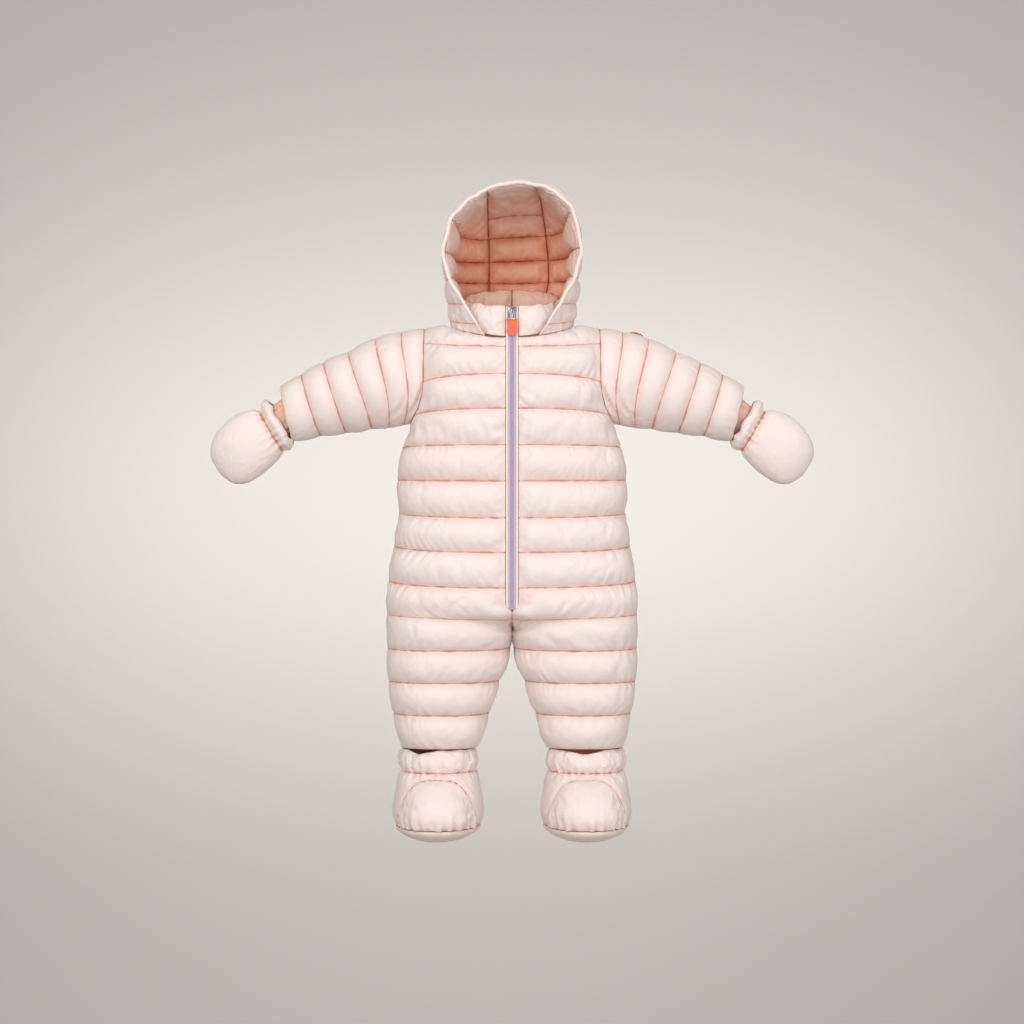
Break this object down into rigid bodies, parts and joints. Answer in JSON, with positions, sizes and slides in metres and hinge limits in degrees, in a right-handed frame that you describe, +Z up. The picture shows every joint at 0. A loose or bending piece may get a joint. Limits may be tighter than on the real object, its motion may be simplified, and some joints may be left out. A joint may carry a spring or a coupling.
{
  "type": "baby snowsuit",
  "caption": "Quilted one-piece padded snowsuit with hood, stand collar, front zip, attached mittens and booties; hollow and filled out as when worn.",
  "frame": {"origin": "between the shoulders, level with the shoulder seams, where the wearer's shoulders hold the garment up", "axes": "+Z up along the body to the hood, +X to the wearer's left, -Y out of the front where the zip is"},
  "size_m": [0.7796, 0.2057, 0.842],
  "materials": {
    "shell": "matt with a soft sheen",
    "cuff_lining": "matt",
    "zip_coil": "satin",
    "slider_metal": "satin",
    "pull_tab": "satin",
    "badge": "matt"
  },
  "bodies": {
    "suit": {"front_left": "shell", "front_right": "shell", "back_left": "shell", "back_right": "shell", "sleeve_left": "shell", "sleeve_right": "shell", "hood_centre": "shell", "hood_side_left": "shell", "hood_side_right": "shell", "hood_binding": "shell", "collar_left": "shell", "collar_right": "shell", "mitten_left": "shell", "mitten_right": "shell", "bootie_left": "shell", "bootie_right": "shell", "toe_cap_left": "shell", "toe_cap_right": "shell", "sole_left": "shell", "sole_right": "shell", "piping_left": "shell", "piping_right": "shell", "inner_cuff_left": "cuff_lining", "inner_cuff_right": "cuff_lining", "zip_coil": "zip_coil", "zip_slider": "slider_metal", "badge": "badge"},
    "pull": {"pull_link": "slider_metal", "pull_tab": "pull_tab"}
  },
  "joints": [
    {"name": "pull_hinge", "type": "hinge", "parent": "suit", "child": "pull", "pos_m": [0, -0.06681, 0.0185], "axis": [-1, 0, 0], "range_deg": [0, 170]}
  ]
}
